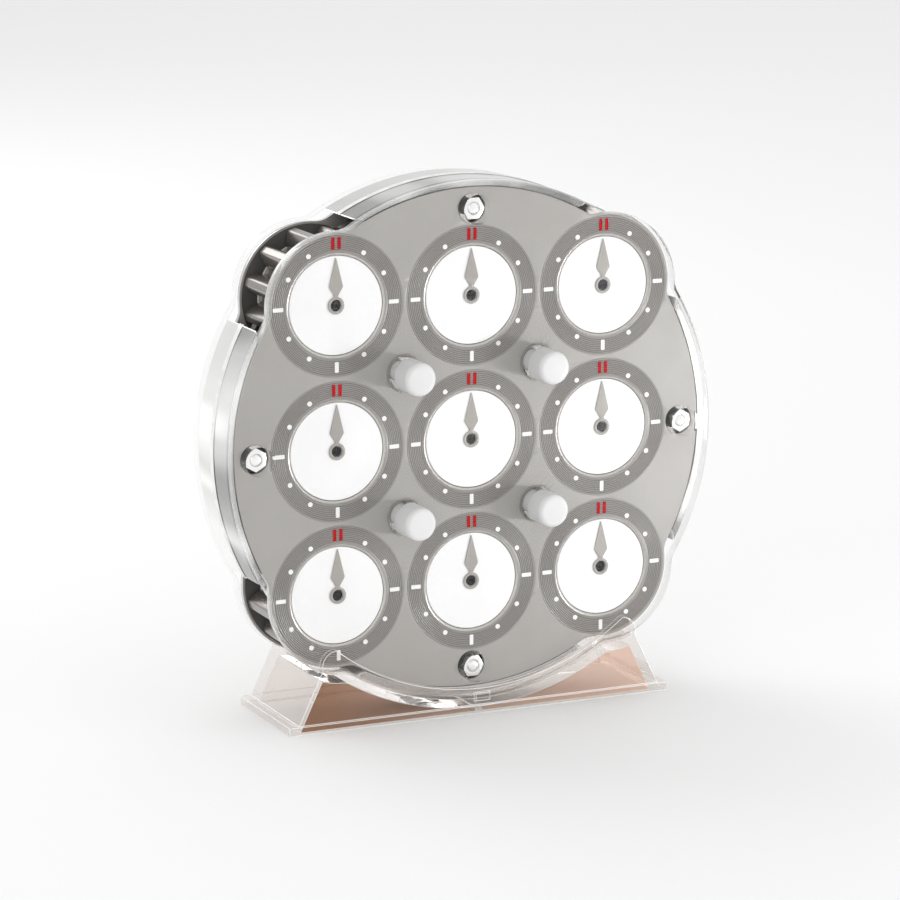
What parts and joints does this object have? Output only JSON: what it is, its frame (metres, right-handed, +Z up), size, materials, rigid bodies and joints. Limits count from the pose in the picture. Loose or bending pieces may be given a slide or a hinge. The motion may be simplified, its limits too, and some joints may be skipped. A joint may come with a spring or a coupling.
{
  "type": "clock puzzle in a display stand",
  "caption": "Round two-sided clock puzzle with geared dials, push pins and corner finger wheels, standing in a clear display stand.",
  "frame": {"origin": "centre of the stand's underside, on the surface that it rests on, below the middle of the puzzle's thickness", "axes": "+Z up, the front face with its pushed-out pins looks along -Y, +X to the right seen from the front"},
  "size_m": [0.0904, 0.0252, 0.0926],
  "materials": {
    "clear_stand": "gloss clear acrylic",
    "clear_cover": "gloss clear acrylic",
    "face_grey": "satin warm grey",
    "ring_grey": "fine concentric grooves",
    "mark_white": "printed white",
    "mark_red": "printed red",
    "band_silver": "silver plated, satin",
    "frame_dark": "moulded, satin",
    "post_steel": "turned",
    "screw_black": "blackened",
    "bolt_chrome": "bright",
    "washer_black": "satin",
    "magnet_nickel": "nickel plated",
    "ring_rubber": "matt",
    "wheel_metal": "satin nickel, slightly brown",
    "dial_white": "gloss white",
    "hand_grey": "satin grey",
    "pin_white": "satin white",
    "gear_ivory": "moulded acetal"
  },
  "bodies": {
    "stand": {"stand": "clear_stand"},
    "case": {"front_cover": "clear_cover", "back_cover": "clear_cover", "front_face_plate": "face_grey", "back_face_plate": "face_grey", "front_side_band": "band_silver", "back_side_band": "band_silver", "mid_frame": "frame_dark", "dial_posts": "post_steel", "dial_screws": "screw_black", "case_bolts": "bolt_chrome", "case_nuts": "bolt_chrome", "bolt_washers": "washer_black", "case_magnets": "magnet_nickel", "pin_rings": "ring_rubber"},
    "wheel_top_left": {"finger_wheel_top_left": "wheel_metal", "corner_dials_top_left": "dial_white", "corner_hands_top_left": "hand_grey", "corner_screws_top_left": "screw_black"},
    "wheel_top_right": {"finger_wheel_top_right": "wheel_metal", "corner_dials_top_right": "dial_white", "corner_hands_top_right": "hand_grey", "corner_screws_top_right": "screw_black"},
    "wheel_bottom_left": {"finger_wheel_bottom_left": "wheel_metal", "corner_dials_bottom_left": "dial_white", "corner_hands_bottom_left": "hand_grey", "corner_screws_bottom_left": "screw_black"},
    "wheel_bottom_right": {"finger_wheel_bottom_right": "wheel_metal", "corner_dials_bottom_right": "dial_white", "corner_hands_bottom_right": "hand_grey", "corner_screws_bottom_right": "screw_black"},
    "front_dial_top": {"front_dial_top": "dial_white", "front_hand_top": "hand_grey"},
    "front_dial_left": {"front_dial_left": "dial_white", "front_hand_left": "hand_grey"},
    "front_dial_centre": {"front_dial_centre": "dial_white", "front_hand_centre": "hand_grey"},
    "front_dial_right": {"front_dial_right": "dial_white", "front_hand_right": "hand_grey"},
    "front_dial_bottom": {"front_dial_bottom": "dial_white", "front_hand_bottom": "hand_grey"},
    "back_dial_top": {"back_dial_top": "dial_white", "back_hand_top": "hand_grey"},
    "back_dial_left": {"back_dial_left": "dial_white", "back_hand_left": "hand_grey"},
    "back_dial_centre": {"back_dial_centre": "dial_white", "back_hand_centre": "hand_grey"},
    "back_dial_right": {"back_dial_right": "dial_white", "back_hand_right": "hand_grey"},
    "back_dial_bottom": {"back_dial_bottom": "dial_white", "back_hand_bottom": "hand_grey"},
    "pin_top_left": {"pin_top_left": "pin_white"},
    "pin_gear_top_left": {"pin_gear_top_left": "gear_ivory"},
    "pin_top_right": {"pin_top_right": "pin_white"},
    "pin_gear_top_right": {"pin_gear_top_right": "gear_ivory"},
    "pin_bottom_left": {"pin_bottom_left": "pin_white"},
    "pin_gear_bottom_left": {"pin_gear_bottom_left": "gear_ivory"},
    "pin_bottom_right": {"pin_bottom_right": "pin_white"},
    "pin_gear_bottom_right": {"pin_gear_bottom_right": "gear_ivory"}
  },
  "joints": [
    {"name": "case_lift", "type": "slide", "parent": "stand", "child": "case", "axis": [0, 0, 1], "range_m": [0, 0.04]},
    {"name": "wheel_top_left_spin", "type": "hinge", "parent": "case", "child": "wheel_top_left", "pos_m": [-0.025, 0, 0.0725], "axis": [0, 1, 0], "continuous": true},
    {"name": "wheel_top_right_spin", "type": "hinge", "parent": "case", "child": "wheel_top_right", "pos_m": [0.025, 0, 0.0725], "axis": [0, 1, 0], "continuous": true},
    {"name": "wheel_bottom_left_spin", "type": "hinge", "parent": "case", "child": "wheel_bottom_left", "pos_m": [-0.025, 0, 0.0225], "axis": [0, 1, 0], "continuous": true},
    {"name": "wheel_bottom_right_spin", "type": "hinge", "parent": "case", "child": "wheel_bottom_right", "pos_m": [0.025, 0, 0.0225], "axis": [0, 1, 0], "continuous": true},
    {"name": "front_dial_top_spin", "type": "hinge", "parent": "case", "child": "front_dial_top", "pos_m": [0, 0, 0.0725], "axis": [0, 1, 0], "continuous": true},
    {"name": "front_dial_left_spin", "type": "hinge", "parent": "case", "child": "front_dial_left", "pos_m": [-0.025, 0, 0.0475], "axis": [0, 1, 0], "continuous": true},
    {"name": "front_dial_centre_spin", "type": "hinge", "parent": "case", "child": "front_dial_centre", "pos_m": [0, 0, 0.0475], "axis": [0, 1, 0], "continuous": true},
    {"name": "front_dial_right_spin", "type": "hinge", "parent": "case", "child": "front_dial_right", "pos_m": [0.025, 0, 0.0475], "axis": [0, 1, 0], "continuous": true},
    {"name": "front_dial_bottom_spin", "type": "hinge", "parent": "case", "child": "front_dial_bottom", "pos_m": [0, 0, 0.0225], "axis": [0, 1, 0], "continuous": true},
    {"name": "back_dial_top_spin", "type": "hinge", "parent": "case", "child": "back_dial_top", "pos_m": [0, 0, 0.0725], "axis": [0, 1, 0], "continuous": true},
    {"name": "back_dial_left_spin", "type": "hinge", "parent": "case", "child": "back_dial_left", "pos_m": [-0.025, 0, 0.0475], "axis": [0, 1, 0], "continuous": true},
    {"name": "back_dial_centre_spin", "type": "hinge", "parent": "case", "child": "back_dial_centre", "pos_m": [0, 0, 0.0475], "axis": [0, 1, 0], "continuous": true},
    {"name": "back_dial_right_spin", "type": "hinge", "parent": "case", "child": "back_dial_right", "pos_m": [0.025, 0, 0.0475], "axis": [0, 1, 0], "continuous": true},
    {"name": "back_dial_bottom_spin", "type": "hinge", "parent": "case", "child": "back_dial_bottom", "pos_m": [0, 0, 0.0225], "axis": [0, 1, 0], "continuous": true},
    {"name": "pin_top_left_push", "type": "slide", "parent": "case", "child": "pin_top_left", "axis": [0, 1, 0], "range_m": [0, 0.0044]},
    {"name": "pin_gear_top_left_spin", "type": "hinge", "parent": "pin_top_left", "child": "pin_gear_top_left", "pos_m": [-0.0125, 0, 0.06], "axis": [0, 1, 0], "continuous": true},
    {"name": "pin_top_right_push", "type": "slide", "parent": "case", "child": "pin_top_right", "axis": [0, 1, 0], "range_m": [0, 0.0044]},
    {"name": "pin_gear_top_right_spin", "type": "hinge", "parent": "pin_top_right", "child": "pin_gear_top_right", "pos_m": [0.0125, 0, 0.06], "axis": [0, 1, 0], "continuous": true},
    {"name": "pin_bottom_left_push", "type": "slide", "parent": "case", "child": "pin_bottom_left", "axis": [0, 1, 0], "range_m": [0, 0.0044]},
    {"name": "pin_gear_bottom_left_spin", "type": "hinge", "parent": "pin_bottom_left", "child": "pin_gear_bottom_left", "pos_m": [-0.0125, 0, 0.035], "axis": [0, 1, 0], "continuous": true},
    {"name": "pin_bottom_right_push", "type": "slide", "parent": "case", "child": "pin_bottom_right", "axis": [0, 1, 0], "range_m": [0, 0.0044]},
    {"name": "pin_gear_bottom_right_spin", "type": "hinge", "parent": "pin_bottom_right", "child": "pin_gear_bottom_right", "pos_m": [0.0125, 0, 0.035], "axis": [0, 1, 0], "continuous": true}
  ],
  "couplings": [
    {"joint": "wheel_top_right_spin", "follows": "wheel_top_left_spin", "ratio": 1},
    {"joint": "wheel_bottom_left_spin", "follows": "wheel_top_left_spin", "ratio": 1},
    {"joint": "wheel_bottom_right_spin", "follows": "wheel_top_left_spin", "ratio": 1},
    {"joint": "front_dial_top_spin", "follows": "wheel_top_left_spin", "ratio": 1},
    {"joint": "front_dial_left_spin", "follows": "wheel_top_left_spin", "ratio": 1},
    {"joint": "front_dial_centre_spin", "follows": "wheel_top_left_spin", "ratio": 1},
    {"joint": "front_dial_right_spin", "follows": "wheel_top_left_spin", "ratio": 1},
    {"joint": "front_dial_bottom_spin", "follows": "wheel_top_left_spin", "ratio": 1},
    {"joint": "pin_gear_top_left_spin", "follows": "wheel_top_left_spin", "ratio": -1.5},
    {"joint": "pin_gear_top_right_spin", "follows": "wheel_top_left_spin", "ratio": -1.5},
    {"joint": "pin_gear_bottom_left_spin", "follows": "wheel_top_left_spin", "ratio": -1.5},
    {"joint": "pin_gear_bottom_right_spin", "follows": "wheel_top_left_spin", "ratio": -1.5}
  ]
}
